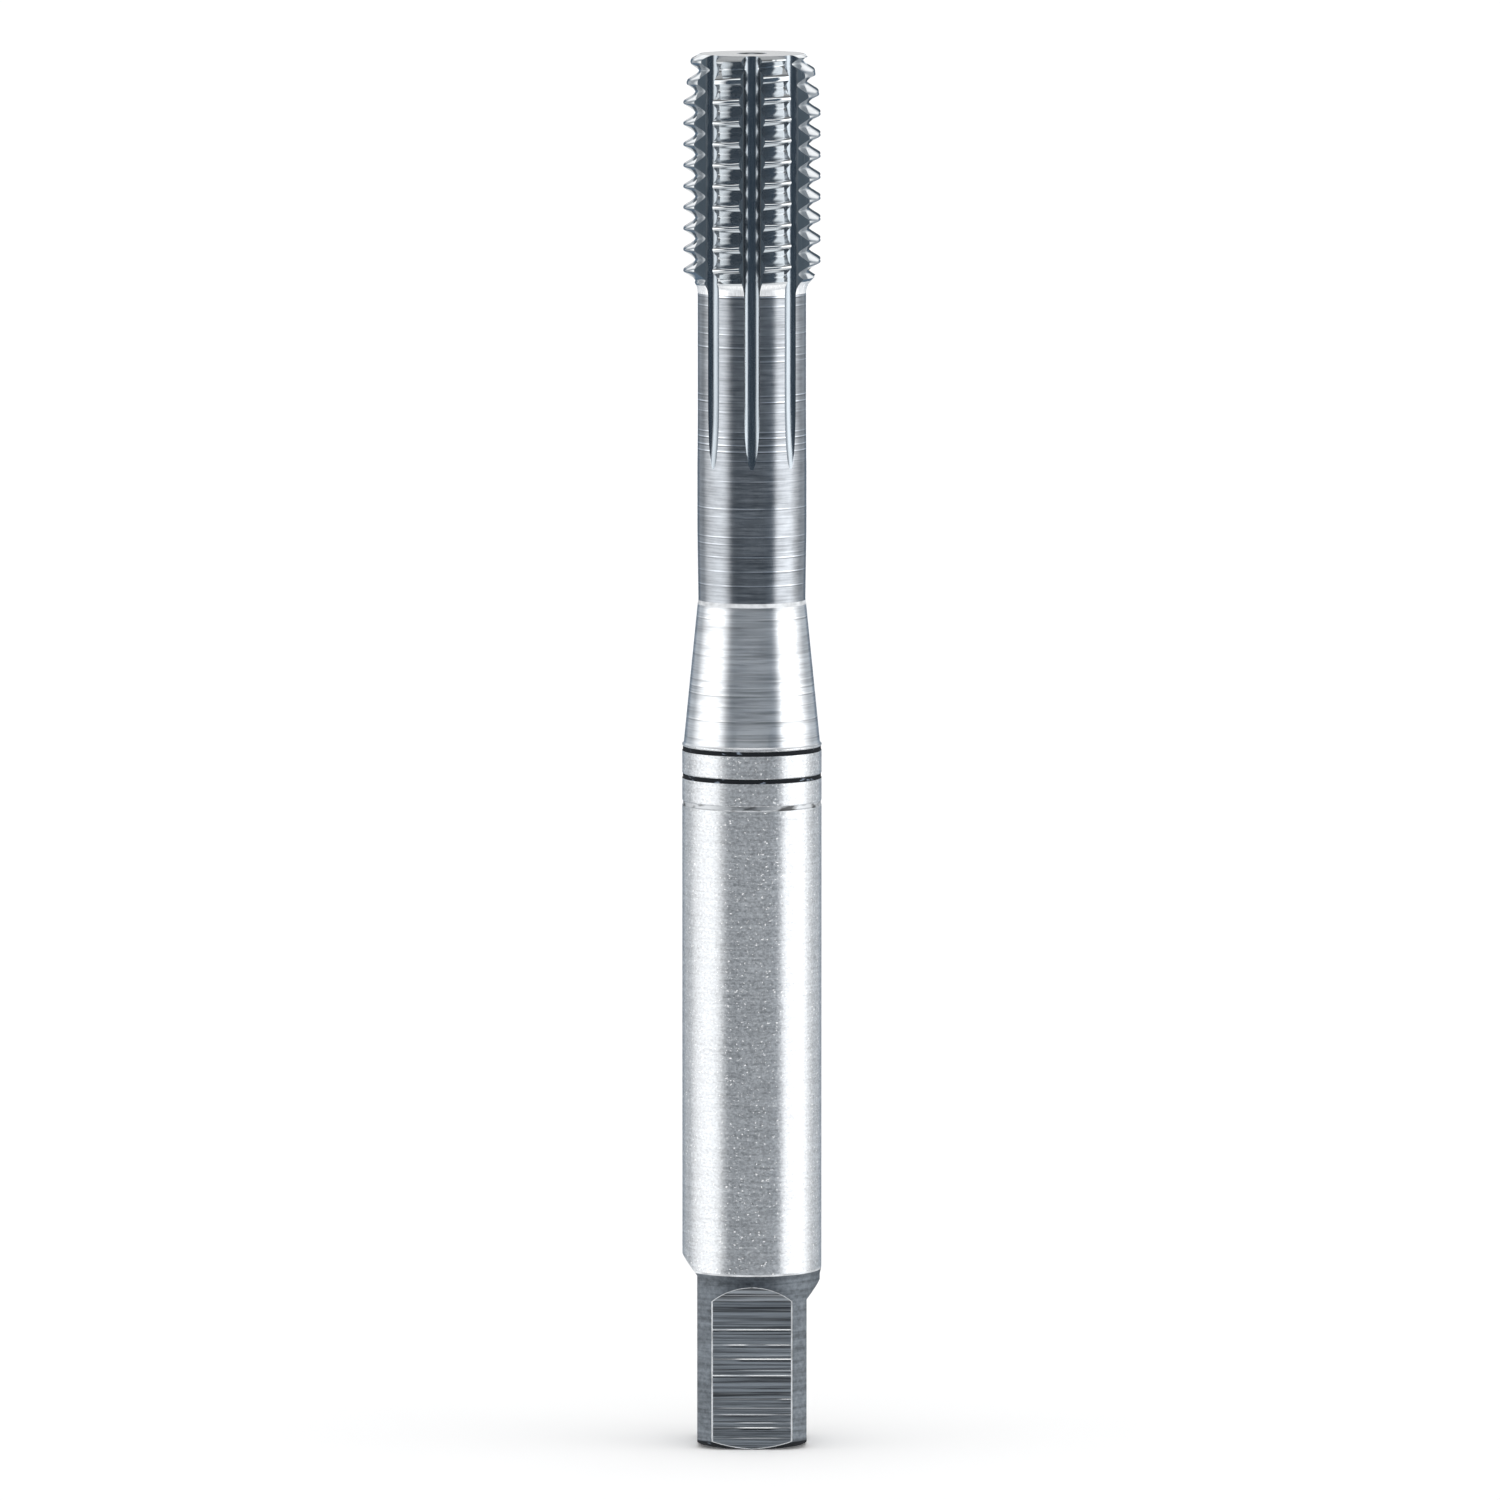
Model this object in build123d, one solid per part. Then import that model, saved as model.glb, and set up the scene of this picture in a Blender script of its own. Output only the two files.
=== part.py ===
from build123d import *
from math import acos, atan, ceil, cos, degrees, pi, radians, sin, tan
import os

# A machine tap for M10 x 1.5 threads, ground from one bar of high-speed steel.
# It stands on the end of its square, with the thread at the top: +Z runs along
# the axis, the origin is the middle of the square's end face, and -Y is the front.
# Every length is in millimetres and every angle is in degrees.

overall_length = 100.0

# Square end that the wrench or chuck drives
square_across_flats = 7.85
square_length = 10.75
left_flat_length = 12.5
flat_runout_angle = 40.0
turned_diameter = 9.76
end_face_diameter = 7.6
end_chamfer_height = 0.6

# Ground shank, with shallow marking rings below the cone
ground_start = 12.75
ground_edge_height = 0.5
shank_diameter = 10.0
ring_count = 3
ring_spacing = 1.97
ring_width = 0.36
ring_depth = 0.05
ring_land = 0.12

# Cone and neck between the shank and the thread
cone_foot_diameter = 9.76
cone_top_diameter = 7.76
cone_length = 9.95
neck_diameter = 7.8
neck_length = 22.3
waist_diameter = 7.66
waist_length = 5.2
waist_step_height = 0.3

# Thread, with a tapered lead at the tip
thread_diameter = 10.08
thread_root_diameter = 8.1
thread_length = 15.9
pitch = 1.5
flank_angle = 60.0
root_flat = 0.2
first_crest_depth = 0.1
lead_angle = 10.7
lead_length = 3.7
root_lead_length = 2.7
nose_diameter = 7.4
nose_chamfer_height = 0.34

# Oil grooves, which part the thread into lands, and the relief of each land
groove_count = 8
groove_floor_diameter = 7.16
groove_nose_radius = 0.7
groove_flare_angle = 18.0
groove_length = 24.45
groove_wheel_radius = 40.0
lobe_radius = 3.4

# Centre holes that the tap is ground between
centre_angle = 60.0
drill_point_angle = 118.0
tip_centre_diameter = 2.12
tip_pilot_diameter = 1.0
tip_pilot_depth = 2.0
base_centre_diameter = 3.35
base_pilot_diameter = 1.6
base_pilot_depth = 3.4

# Worked out from the sizes above
over_cut = 0.5
crest_radius = thread_diameter / 2
root_radius = thread_root_diameter / 2
neck_radius = neck_diameter / 2
shank_radius = shank_diameter / 2
lead_slope = tan(radians(lead_angle))
thread_start = overall_length - thread_length
neck_top = thread_start - (crest_radius - neck_radius)
neck_foot = neck_top - neck_length
cone_foot = neck_foot - cone_length
shank_end = cone_foot - (shank_radius - cone_foot_diameter / 2)
land_pitch = 360 / groove_count
front = -90


def shaft_outline():
    """Points (radius, height) of the turned blank, from the end face up to the neck's top."""
    points = [(0, 0), (end_face_diameter / 2, 0)]
    points += [(turned_diameter / 2, end_chamfer_height)]
    points += [(turned_diameter / 2, ground_start - ground_edge_height)]
    points += [(shank_radius, ground_start)]
    for ring in reversed(range(ring_count)):
        top = shank_end - ring_land - ring * ring_spacing
        bottom = top - ring_width
        floor_radius = shank_radius - ring_depth
        points += [(shank_radius, bottom), (floor_radius, bottom + ring_depth)]
        points += [(floor_radius, top - ring_depth), (shank_radius, top)]
    points += [(shank_radius, shank_end), (cone_foot_diameter / 2, cone_foot)]
    points += [(cone_top_diameter / 2, neck_foot)]
    points += [(waist_diameter / 2, neck_foot + waist_step_height)]
    points += [(neck_radius, neck_foot + waist_length), (neck_radius, neck_top)]
    return points


def head_outline():
    """Points (radius, height) of the blank's head, from the shoulder round to the end face.

    The head is left over size here, because the lobes bring it down to the thread's size.
    """
    over_radius = crest_radius + over_cut
    lead_foot = overall_length - lead_length
    chamfer_foot = overall_length - nose_chamfer_height
    chamfer_radius = crest_radius - (chamfer_foot - lead_foot) * lead_slope
    points = [(crest_radius, thread_start), (over_radius, thread_start)]
    points += [(over_radius, lead_foot - over_cut / lead_slope)]
    points += [(chamfer_radius, chamfer_foot), (nose_diameter / 2, overall_length)]
    points += [(0, overall_length), (0, 0)]
    return points


def blank():
    """Turned blank: square end, shank, rings, cone, neck, concave shoulder and lead."""
    shoulder = RadiusArc(
        (neck_radius, neck_top), (crest_radius, thread_start), -(crest_radius - neck_radius)
    )
    outline = Polyline(*shaft_outline()) + shoulder + Polyline(*head_outline())
    return revolve(Plane.XZ * make_face(outline), Axis.Z)


def lobe_relief():
    """Ring round the head that leaves one lobe on each land, highest at its middle."""
    seats = PolarLocations(crest_radius - lobe_radius, groove_count, land_pitch / 2)
    lobes = Sketch() + seats * Circle(lobe_radius)
    ring = Circle(crest_radius + 2 * over_cut) - lobes
    return Pos(Z=neck_top) * extrude(ring, overall_length - neck_top + over_cut)


def groove_section():
    """Cross-section of an oil groove along +X: a round floor and two flared walls."""
    flare = radians(groove_flare_angle)
    floor_radius = groove_floor_diameter / 2
    wall_radius = floor_radius + groove_nose_radius * (1 - sin(flare))
    wall_half = groove_nose_radius * cos(flare)
    outer_radius = crest_radius + over_cut
    outer_half = wall_half + (outer_radius - wall_radius) * tan(flare)
    nose = ThreePointArc((wall_radius, -wall_half), (floor_radius, 0), (wall_radius, wall_half))
    walls = Polyline(
        (wall_radius, wall_half),
        (outer_radius, outer_half),
        (outer_radius, -outer_half),
        (wall_radius, -wall_half),
    )
    return make_face(nose + walls)


def oil_groove():
    """Oil groove along +X: straight from the tip, then out of the neck on the wheel's arc."""
    straight_end = overall_length - groove_length
    floor_radius = groove_floor_diameter / 2
    floor_rise = neck_radius + over_cut - floor_radius
    wheel_turn = degrees(acos(1 - floor_rise / groove_wheel_radius))
    wheel_axis = Axis((floor_radius + groove_wheel_radius, 0, straight_end), (0, -1, 0))
    section = Pos(Z=straight_end) * groove_section()
    return extrude(section, groove_length + over_cut) + revolve(section, wheel_axis, wheel_turn)


def thread_notch():
    """Thread space across one land at +X: part of a V ring, tilted by the helix angle.

    Over the width of a land the tilted ring stays within a micrometre of the helix.
    """
    half_floor = root_flat / 2
    outer_radius = crest_radius + over_cut / 6
    half_mouth = half_floor + (outer_radius - root_radius) * tan(radians(flank_angle / 2))
    outline = Polyline(
        (root_radius, -half_floor),
        (outer_radius, -half_mouth),
        (outer_radius, half_mouth),
        (root_radius, half_floor),
        close=True,
    )
    span = 0.8 * land_pitch
    helix_angle = degrees(atan(pitch / (pi * (crest_radius + root_radius))))
    ring = revolve(Plane.XZ * make_face(outline), Axis.Z, span)
    return Rot(X=helix_angle) * Rot(Z=-span / 2) * ring


def thread_notches():
    """All thread spaces: each land's stand higher than the last land's by its share of pitch.

    In the lead they also move in towards the axis, so the thread's root tapers too.
    """
    notch = thread_notch()
    turns = ceil((overall_length - neck_top) / pitch) + 1
    root_lead_foot = overall_length - root_lead_length
    placed = []
    for land in range(groove_count):
        angle = (land + 0.5) * land_pitch
        top_space = overall_length - first_crest_depth + pitch * (angle / 360 + 0.5)
        for turn in range(turns):
            height = top_space - turn * pitch
            drop = max(0, height - root_lead_foot) * lead_slope
            placed.append(Rot(Z=front + angle) * Pos(-drop, 0, height) * notch)
    return placed


def flat_cut(length):
    """Stock ground away at +X to make one flat of the square, with its sloped run-out."""
    flat = square_across_flats / 2
    outer = shank_radius + over_cut
    runout_end = length + (outer - flat) / tan(radians(flat_runout_angle))
    outline = Polyline(
        (flat, -over_cut),
        (flat, length),
        (outer, runout_end),
        (outer, -over_cut),
        close=True,
    )
    return extrude(Plane.XZ * make_face(outline), outer, both=True)


def centre_hole(mouth_diameter, pilot_diameter, pilot_depth):
    """Countersunk centre hole that opens at height 0 and runs upwards."""
    mouth = mouth_diameter / 2
    pilot = pilot_diameter / 2
    seat = (mouth - pilot) / tan(radians(centre_angle / 2))
    point = pilot / tan(radians(drill_point_angle / 2))
    outline = Polyline(
        (0, 0), (mouth, 0), (pilot, seat), (pilot, pilot_depth), (0, pilot_depth + point), close=True
    )
    return revolve(Plane.XZ * make_face(outline), Axis.Z)


def thread_tap():
    """The whole tap: the blank, then what is ground and drilled away from it."""
    grooves = [Rot(Z=front + index * land_pitch) * oil_groove() for index in range(groove_count)]
    flats = [Rot(Z=turn) * flat_cut(square_length) for turn in (front, 0, 90)]
    flats.append(Rot(Z=180) * flat_cut(left_flat_length))
    base_centre = centre_hole(base_centre_diameter, base_pilot_diameter, base_pilot_depth)
    tip_centre = centre_hole(tip_centre_diameter, tip_pilot_diameter, tip_pilot_depth)
    tap = blank() - lobe_relief()
    tap = tap - grooves
    tap = tap - thread_notches()
    tap = tap - flats
    return tap - [base_centre, Pos(Z=overall_length) * Rot(X=180) * tip_centre]


os.makedirs("parts", exist_ok=True)
export_step(thread_tap(), "parts/thread_tap.step")
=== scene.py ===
import math
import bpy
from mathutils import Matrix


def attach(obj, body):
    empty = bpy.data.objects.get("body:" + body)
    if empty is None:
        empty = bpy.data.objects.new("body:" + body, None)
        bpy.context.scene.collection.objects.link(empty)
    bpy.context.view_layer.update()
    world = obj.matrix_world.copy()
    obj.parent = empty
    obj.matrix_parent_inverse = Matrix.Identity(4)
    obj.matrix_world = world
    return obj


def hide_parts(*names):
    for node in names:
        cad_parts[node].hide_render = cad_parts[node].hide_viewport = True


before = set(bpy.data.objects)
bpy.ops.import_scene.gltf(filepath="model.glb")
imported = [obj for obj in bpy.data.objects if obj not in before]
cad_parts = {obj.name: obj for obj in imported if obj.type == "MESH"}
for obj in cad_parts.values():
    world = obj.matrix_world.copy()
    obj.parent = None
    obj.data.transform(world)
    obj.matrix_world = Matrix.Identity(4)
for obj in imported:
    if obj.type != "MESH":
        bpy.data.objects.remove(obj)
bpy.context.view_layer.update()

from types import SimpleNamespace

import bpy
import numpy as np

bl_info = {
    "name": "Thread-forming machine tap",
    "version": (1, 0, 0),
    "blender": (4, 5, 0),
    "location": "3D View > Sidebar > Tap",
    "description": "Makes a machine tap for M10 x 1.5 threads with its ground and turned finishes",
    "category": "Object",
}

MM = 0.001
NODE = "thread_tap"

GROOVES = 8
LAND_PITCH = 360 / GROOVES

# Columns of the surface in each eighth turn: half a groove, a land, half the next groove
GROOVE_STEPS = 9
LAND_STEPS = 20
PERIOD_STEPS = 2 * GROOVE_STEPS + LAND_STEPS
# The same columns on the square: up to the painted edge highlight from a flat's middle, and up to the flat's
# edge
INNER_COLUMNS = 20
EDGE_COLUMNS = 22
# In millimetres: least length of half a groove, last row's distance below the tip, how much the
# head's blank is over size before the lobes bring it down, and radius of a ring on the tip's face
LEAST_GROOVE = 0.12
TIP_EASE = 0.02
OVER_SIZE = 0.5
TIP_FACE_RING = 3.05
# Heights over which the helix's rise fades in from the neck and out to the tip, in millimetres
RISE_FADE_IN = 1.3
RISE_FADE_OUT = 1.5
# Where the helix turns back, in the groove behind the tap: half its angle, and the eased share of it
SEAM_HALF_ANGLE = 11.0
SEAM_EASE_SHARE = 0.55
# Depth for each millimetre of radius in a 60 degree centre, and radius for depth at a drill's point
CENTRE_SLOPE = math.sqrt(3)
DRILL_POINT_SLOPE = math.tan(math.radians(118 / 2))
# Finishes in the order of their numbers on the faces, and the finish of each part of the outline; the one
# named scale is painted shade on the marking rings and the end's chamfer
FINISHES = (
    "thread", "neck", "shank", "cone", "blank", "faced", "scale", "flat", "edge highlight", "groove", "dashed shade",
    "fillet",
)
FINISH_OF_PART = {
    "hole": "faced", "face": "faced", "chamfer": "scale", "drive": "blank", "edge": "blank",
    "rim": "edge highlight", "shank": "shank", "lowest ring": "dashed shade", "ring": "scale", "cone": "cone",
    "step": "edge highlight", "neck": "neck",
}
# Edges sharper than this many degrees stay crisp
SHARP_ANGLE = 32
# Settings of a Mix node that mixes two colours
COLOUR_MIX = {"output": 2, "data_type": "RGBA"}
# The studio's strongest light, and the floor's radius in metres and its corners
BRIGHTEST = 3.0
FLOOR_RADIUS = 4
FLOOR_CORNERS = 96


def linear(code):
    """Turns an sRGB hex value such as #c0c4c8 into linear red, green and blue."""
    parts = [int(code[i:i + 2], 16) / 255 for i in (1, 3, 5)]
    return tuple(c / 12.92 if c <= 0.04045 else ((c + 0.055) / 1.055) ** 2.4 for c in parts)


def length(name, description, millimetres):
    """A length property, written in millimetres and kept in metres."""
    return bpy.props.FloatProperty(
        name=name, description=description, default=millimetres * MM, min=0, unit="LENGTH", precision=5
    )


def angle(name, description, degrees):
    """An angle property, written in degrees and kept in radians."""
    return bpy.props.FloatProperty(
        name=name, description=description, default=math.radians(degrees), unit="ROTATION"
    )


def colour(name, description, code):
    """A colour property, written as sRGB hex and kept linear."""
    return bpy.props.FloatVectorProperty(
        name=name, description=description, default=linear(code), min=0, max=1, subtype="COLOR"
    )


class TapShaftSizes(bpy.types.PropertyGroup):
    """Sizes of the square end, the shank, the cone and the neck."""

    overall_length: length("Overall length", "From the square's end face to the tip", 100)
    square_across_flats: length("Square across flats", "Width of the drive square", 7.85)
    square_length: length("Square length", "Full depth part of the flats", 10.75)
    left_flat_length: length("Left flat length", "Full depth part of the left flat", 12.5)
    edge_highlight_width: length("Edge highlight width", "Painted highlight round each ground flat", 0.055)
    flat_runout_angle: angle("Flat run-out angle", "Slope at the upper end of each flat", 40)
    turned_diameter: length("Turned diameter", "Blank at the corners of the square", 9.76)
    end_face_diameter: length("End face diameter", "Inside the chamfer of the square end", 7.6)
    end_chamfer_height: length("End chamfer height", "Chamfer of the square end", 0.6)
    ground_start: length("Ground start", "Height where the ground shank begins", 12.75)
    ground_edge_height: length("Ground edge height", "Slope below the ground shank", 0.5)
    shank_diameter: length("Shank diameter", "Ground shank", 9.992)
    ring_spacing: length("Ring spacing", "Between two marking rings", 1.97)
    ring_width: length("Ring width", "Each marking ring", 0.36)
    ring_depth: length("Ring depth", "Each marking ring", 0.05)
    ring_land: length("Ring land", "Shank left above the top ring", 0.12)
    cone_foot_diameter: length("Cone foot diameter", "Widest part of the cone", 9.76)
    cone_top_diameter: length("Cone top diameter", "Narrowest part of the cone", 7.76)
    cone_length: length("Cone length", "Height of the cone", 9.95)
    neck_diameter: length("Neck diameter", "Reduced neck under the thread", 7.8)
    neck_length: length("Neck length", "From the cone to the shoulder", 22.3)
    waist_diameter: length("Waist diameter", "Thinnest part of the neck", 7.66)
    waist_length: length("Waist length", "Slow taper above the waist", 5.2)
    waist_step_height: length("Waist step height", "Step between cone and waist", 0.3)
    base_centre_diameter: length("Base centre diameter", "Countersink in the square's end", 3.35)
    base_pilot_diameter: length("Base pilot diameter", "Pilot hole in the square's end", 1.6)
    base_pilot_depth: length("Base pilot depth", "Pilot hole in the square's end", 3.4)


class TapHeadSizes(bpy.types.PropertyGroup):
    """Sizes of the thread, its lead, its lobes and its oil grooves."""

    thread_diameter: length("Thread diameter", "Over the lobes", 10.08)
    thread_root_diameter: length("Thread root diameter", "Floor of the thread spaces", 8.1)
    thread_length: length("Thread length", "From the shoulder to the tip", 15.9)
    pitch: length("Pitch", "Rise of the thread in one turn", 1.5)
    flank_angle: angle("Flank angle", "Between the two flanks of a space", 60)
    root_flat: length("Root flat", "Width of a space's floor", 0.2)
    crest_round: length("Crest rounding", "Softness of the crests' edges", 0.065)
    root_round: length("Root rounding", "Softness of the roots' edges", 0.08)
    first_crest_depth: length("First crest depth", "Of the first crest below the tip", 0.1)
    lead_angle: angle("Lead angle", "Slope of the tapered lead", 10.7)
    lead_length: length("Lead length", "Taper of the crests", 3.7)
    root_lead_length: length("Root lead length", "Taper of the roots", 2.7)
    nose_diameter: length("Nose diameter", "Flat face of the tip", 7.4)
    nose_chamfer_height: length("Nose chamfer height", "Chamfer round the tip", 0.34)
    groove_floor_diameter: length("Groove floor diameter", "Across the floors of two grooves", 7.16)
    groove_nose_radius: length("Groove nose radius", "Round floor of a groove", 0.7)
    groove_flare_angle: angle("Groove flare angle", "Slope of a groove's walls", 18.0)
    groove_length: length("Groove length", "Straight part from the tip", 24.45)
    groove_wheel_radius: length("Groove wheel radius", "Arc at the groove's lower end", 40)
    lobe_radius: length("Lobe radius", "Curve of each land", 3.4)
    tip_centre_diameter: length("Tip centre diameter", "Countersink in the tip", 2.12)
    tip_pilot_diameter: length("Tip pilot diameter", "Pilot hole in the tip", 1.0)
    tip_pilot_depth: length("Tip pilot depth", "Pilot hole in the tip", 2.0)


class TapColours(bpy.types.PropertyGroup):
    """Colours of the steel's finishes and of the studio."""

    polished_steel: colour("Polished steel", "Form-ground thread", "#c3c7ca")
    groove_steel: colour("Groove steel", "Wheel-ground oil grooves", "#969da3")
    neck_steel: colour("Neck steel", "Fine-turned neck", "#9a9ea3")
    shank_steel: colour("Shank steel", "Ground shank and cone", "#dfe2e5")
    drive_steel: colour("Drive steel", "Turned blank at the square", "#72787e")
    flat_steel: colour("Flat steel", "Surface-ground flats of the square", "#8f9499")
    faced_steel: colour("Faced steel", "End faces and centre holes", "#9b9fa3")
    fillet_steel: colour("Fillet highlight white", "Hollow shoulder below the thread", "#eef0f2")
    edge_steel: colour("Edge steel", "Painted highlights on the edges of the square and the shank", "#e0e3e6")
    painted_shade_black: colour("Painted shade black", "Painted shade in rings and chamfer", "#1b1e22")
    floor_white: colour("Floor white", "Pale studio floor", "#f4f4f4")
    room_slate: colour("Room slate", "Dark side of the studio", "#4c5b69")
    room_grey: colour("Room grey", "Sides behind the tap", "#ccd2d8")


class TapView(bpy.types.PropertyGroup):
    """Where the camera stands."""

    lens: bpy.props.FloatProperty(
        name="Lens", description="Focal length in millimetres", default=353.7, min=1
    )
    distance: length("Distance", "From the tap's axis to the camera", 1050)
    height: length("Height", "Of the camera above the floor", 160)
    aim_height: length("Aim height", "Height that the camera looks at", 50.07)
    aside: bpy.props.FloatProperty(
        name="Aside", description="Camera's place to the right of the axis", default=-0.136 * MM,
        unit="LENGTH", precision=5,
    )


def add(tree, kind, inputs=(), output=0, **settings):
    """Adds one shader node with its settings, sets or links its inputs, and gives the output asked for.

    Inputs have names or numbers. A Map Range takes its value at 0, where it runs from and to at
    1 and 2, and what that gives at 3 and 4. A Mix has its share at 0 and its colours at 6 and 7.
    """
    node = tree.nodes.new(f"ShaderNode{kind}")
    for name, value in settings.items():
        setattr(node, name, value)
    for name, value in dict(inputs).items():
        if isinstance(value, bpy.types.NodeSocket):
            tree.links.new(value, node.inputs[name])
        else:
            node.inputs[name].default_value = value
    return node.outputs[output] if len(node.outputs) else node


def shade(tint, share):
    """A darker or lighter shade of a linear colour, at most white."""
    return (*[min(1.0, share * c) for c in tint], 1)


def in_millimetres(group):
    """A group's sizes by name: lengths in millimetres and angles in radians."""
    sizes = [size for size in group.bl_rna.properties if size.type == "FLOAT"]
    units = {"LENGTH": MM, "ROTATION": 1}
    return SimpleNamespace(**{s.identifier: getattr(group, s.identifier) / units[s.unit] for s in sizes})


def crowded(low, high, first, count):
    """Heights that start a little above low and crowd together towards high."""
    return [low + (high - low) * math.sin(t) for t in np.linspace(first, math.pi / 2, count)]


def main_heights(shaft, head):
    """Heights of the shank's end, the cone's foot, the neck's foot and top, and the thread's start."""
    start = shaft.overall_length - head.thread_length
    neck_top = start - (head.thread_diameter - shaft.neck_diameter) / 2
    neck_foot = neck_top - shaft.neck_length
    cone_foot = neck_foot - shaft.cone_length
    shank_end = cone_foot - (shaft.shank_diameter - shaft.cone_foot_diameter) / 2
    return shank_end, cone_foot, neck_foot, neck_top, start


def square_rows(shaft):
    """Rows of the base's centre hole, the end face, its chamfer and the blank up to the flats' tops."""
    mouth, pilot = shaft.base_centre_diameter / 2, shaft.base_pilot_diameter / 2
    seat, depth = (mouth - pilot) * CENTRE_SLOPE, shaft.base_pilot_depth
    face, turned = shaft.end_face_diameter / 2, shaft.turned_diameter / 2
    chamfer, square = shaft.end_chamfer_height, shaft.square_length
    slope = (turned - face) / chamfer
    arch = square + (turned - shaft.square_across_flats / 2) / math.tan(shaft.flat_runout_angle)
    chamfer_heights = (0.03, 0.07, 0.1, 0.16, 0.25, 0.38, chamfer - 0.05)
    return [
        ("hole", [(depth, pilot), (seat, pilot), (0.05, mouth - 0.03)]),
        ("face", [(0.0, mouth + 0.03), (0.0, face - 0.06), (0.012, face - 0.02)]),
        ("chamfer", [(z, face + slope * z) for z in chamfer_heights]),
        ("drive", [(chamfer + 0.03, turned), (square - 0.02, turned)]),
        ("drive", [(z, turned) for z in crowded(square, arch, 0.02, 14)]),
    ]


def shank_rows(shaft, head):
    """Rows of the ground shank: its torn lower edge, the arch of the left flat and the marking rings."""
    shank_end = main_heights(shaft, head)[0]
    turned, shank = shaft.turned_diameter / 2, shaft.shank_diameter / 2
    start = shaft.ground_start
    edge = start - shaft.ground_edge_height
    depth_of_cut = shank - shaft.square_across_flats / 2
    left_arch = shaft.left_flat_length + depth_of_cut / math.tan(shaft.flat_runout_angle)
    width, depth = shaft.ring_width, shaft.ring_depth
    tops = [shank_end - shaft.ring_land - n * shaft.ring_spacing for n in (2, 1, 0)]
    rows = [
        ("drive", [(edge - 0.04, turned)]),
        ("edge", [(edge + 0.02, turned + 0.005), (edge + 0.13, turned + 0.033)]),
        ("edge", [(edge + 0.24, turned + 0.06), (edge + 0.33, turned + 0.082)]),
        ("edge", [(start - 0.08, shank - 0.018)]),
        ("rim", [(start - 0.01, shank - 0.004), (start + 0.06, shank)]),
        ("shank", [(z, shank) for z in crowded(start + 0.1, left_arch, 0.1, 9)]),
        ("shank", [(z, shank) for z in np.linspace(left_arch + 0.8, tops[0] - width - 0.6, 13)]),
    ]
    for ring_top in tops:
        foot = ring_top - width
        # The lowest ring gets painted shade in broken dashes, the others painted shade all over
        mark = "lowest ring" if ring_top == tops[0] else "ring"
        rows.append(("shank", [(foot - 0.02, shank)]))
        rows.append((mark, [(foot + depth, shank - depth), (ring_top - depth, shank - depth)]))
        rows.append(("shank", [(ring_top + 0.02, shank)]))
    return rows


def neck_rows(shaft, head):
    """Rows of the cone, the waist and the neck, close together where the oil grooves run out."""
    shank_end, cone_foot, neck_foot, neck_top, _ = main_heights(shaft, head)
    shank, neck = shaft.shank_diameter / 2, shaft.neck_diameter / 2
    wide, narrow = shaft.cone_foot_diameter / 2, shaft.cone_top_diameter / 2
    waist, step = shaft.waist_diameter / 2, shaft.waist_step_height
    taper_top = neck_foot + shaft.waist_length
    straight = shaft.overall_length - head.groove_length
    wheel = head.groove_wheel_radius
    rise = neck - head.groove_floor_diameter / 2
    reach = math.sqrt(wheel**2 - (wheel - rise) ** 2)
    shares = (0.25, 0.5, 0.75)
    on_cone = [(cone_foot + t * (neck_foot - cone_foot), wide + t * (narrow - wide)) for t in shares]
    on_arc = [straight - reach * math.cos(t) for t in np.linspace(0.0, math.pi / 2, 22)]
    return [
        ("shank", [(shank_end - 0.01, shank)]),
        ("cone", [(shank_end + 0.02, shank - 0.02)]),
        ("cone", [(cone_foot - 0.02, wide + 0.012), (cone_foot + 0.03, wide - 0.004)]),
        ("cone", [*on_cone, (neck_foot - 0.04, narrow + 0.004)]),
        ("step", [(neck_foot + 0.05, narrow - 0.01), (neck_foot + step - 0.04, waist + 0.006)]),
        ("neck", [(neck_foot + step + 0.1, waist), (neck_foot + 2.6, (waist + neck) / 2 - 0.004)]),
        ("neck", [(z, neck) for z in (taper_top, taper_top + 2, straight - reach - 1.0, *on_arc)]),
        ("neck", [(z, neck) for z in np.linspace(straight + 0.8, neck_top - 0.04, 5)]),
    ]


def outline_rows(shaft, head):
    """Heights, radii and parts of the blank's rows, from the base's hole up to the neck's top.

    Corners get two or three rows close together, so that each edge is rounded by a few hundredths.
    """
    stretches = square_rows(shaft) + shank_rows(shaft, head) + neck_rows(shaft, head)
    places = np.array([place for _, points in stretches for place in points])
    return places[:, 0], places[:, 1], [part for part, points in stretches for _ in points]


def head_rows(shaft, head):
    """Heights of the head's rows: round the shoulder, then at set places on every thread space."""
    neck_top, start = main_heights(shaft, head)[3:]
    top = shaft.overall_length
    pitch = head.pitch
    # Distances from the middle of a space, which crowd towards the crest, for a pitch of 1.5 mm
    one_side = np.array([0.08, 0.13, 0.22, 0.36, 0.5, 0.59, 0.65, 0.7, 0.75]) * pitch / 1.5
    offsets = np.concatenate([-one_side[-2::-1], [0.0], one_side])
    centre = top - head.first_crest_depth + pitch / 2
    turns = np.arange(0, math.ceil((top - start) / pitch) + 1)
    heights = np.sort((centre - pitch * turns[:, None] + offsets).ravel())
    last = top - TIP_EASE
    heights = heights[(heights > start + 0.03) & (heights < last - 0.02)]
    return np.concatenate([crowded(neck_top, start, 0.01 * math.pi, 8), heights, [last]])


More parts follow.
